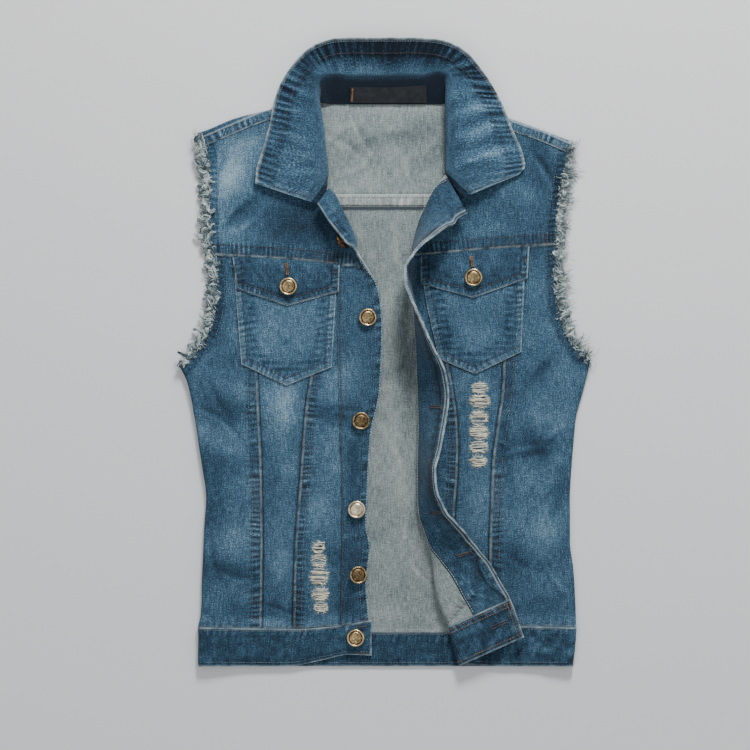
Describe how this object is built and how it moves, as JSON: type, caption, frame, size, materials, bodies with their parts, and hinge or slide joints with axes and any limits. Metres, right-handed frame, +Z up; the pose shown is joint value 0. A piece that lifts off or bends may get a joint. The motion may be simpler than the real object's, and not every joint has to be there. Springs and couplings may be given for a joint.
{
  "type": "denim vest",
  "caption": "Sleeveless denim jacket with frayed armholes, turned-down collar, flap pockets and brass buttons, unbuttoned and laid flat.",
  "frame": {"origin": "on the surface it lies on, under the middle of the garment's box", "axes": "+X towards the wearer's left, +Y from hem to neck, +Z up from the surface, through the fronts"},
  "size_m": [0.4656, 0.7094, 0.0532],
  "materials": {
    "denim_front": "washed indigo denim, faded and creased",
    "denim_back": "denim, pale weft side up",
    "denim_collar": "washed indigo denim, double layer with puckered edge",
    "label_cloth": "plain black woven label",
    "frayed_thread": "frayed pale cotton yarn",
    "brass": "antique brass"
  },
  "bodies": {
    "root": {"back_yoke": "denim_back", "back_centre": "denim_back", "waistband_back": "denim_back", "back_side_right": "denim_back", "back_side_left": "denim_back", "right_front_yoke": "denim_front", "right_side_panel": "denim_front", "right_mid_panel": "denim_front", "right_centre_panel": "denim_front", "right_placket": "denim_front", "right_waistband": "denim_front", "right_pocket": "denim_front", "right_pocket_flap": "denim_front", "left_front_yoke": "denim_front", "left_side_panel": "denim_front", "left_mid_panel": "denim_front", "left_centre_panel": "denim_front", "left_placket": "denim_front", "left_waistband": "denim_front", "left_pocket": "denim_front", "left_pocket_flap": "denim_front", "collar": "denim_collar", "neck_label": "label_cloth", "front_button_1": "brass", "front_button_2": "brass", "front_button_3": "brass", "front_button_4": "brass", "front_button_5": "brass", "front_button_6": "brass", "flap_button_right": "brass", "flap_button_left": "brass", "armhole_fray_right_front": "frayed_thread", "armhole_fray_right_back": "frayed_thread", "armhole_fray_left_front": "frayed_thread", "armhole_fray_left_back": "frayed_thread"}
  },
  "joints": []
}
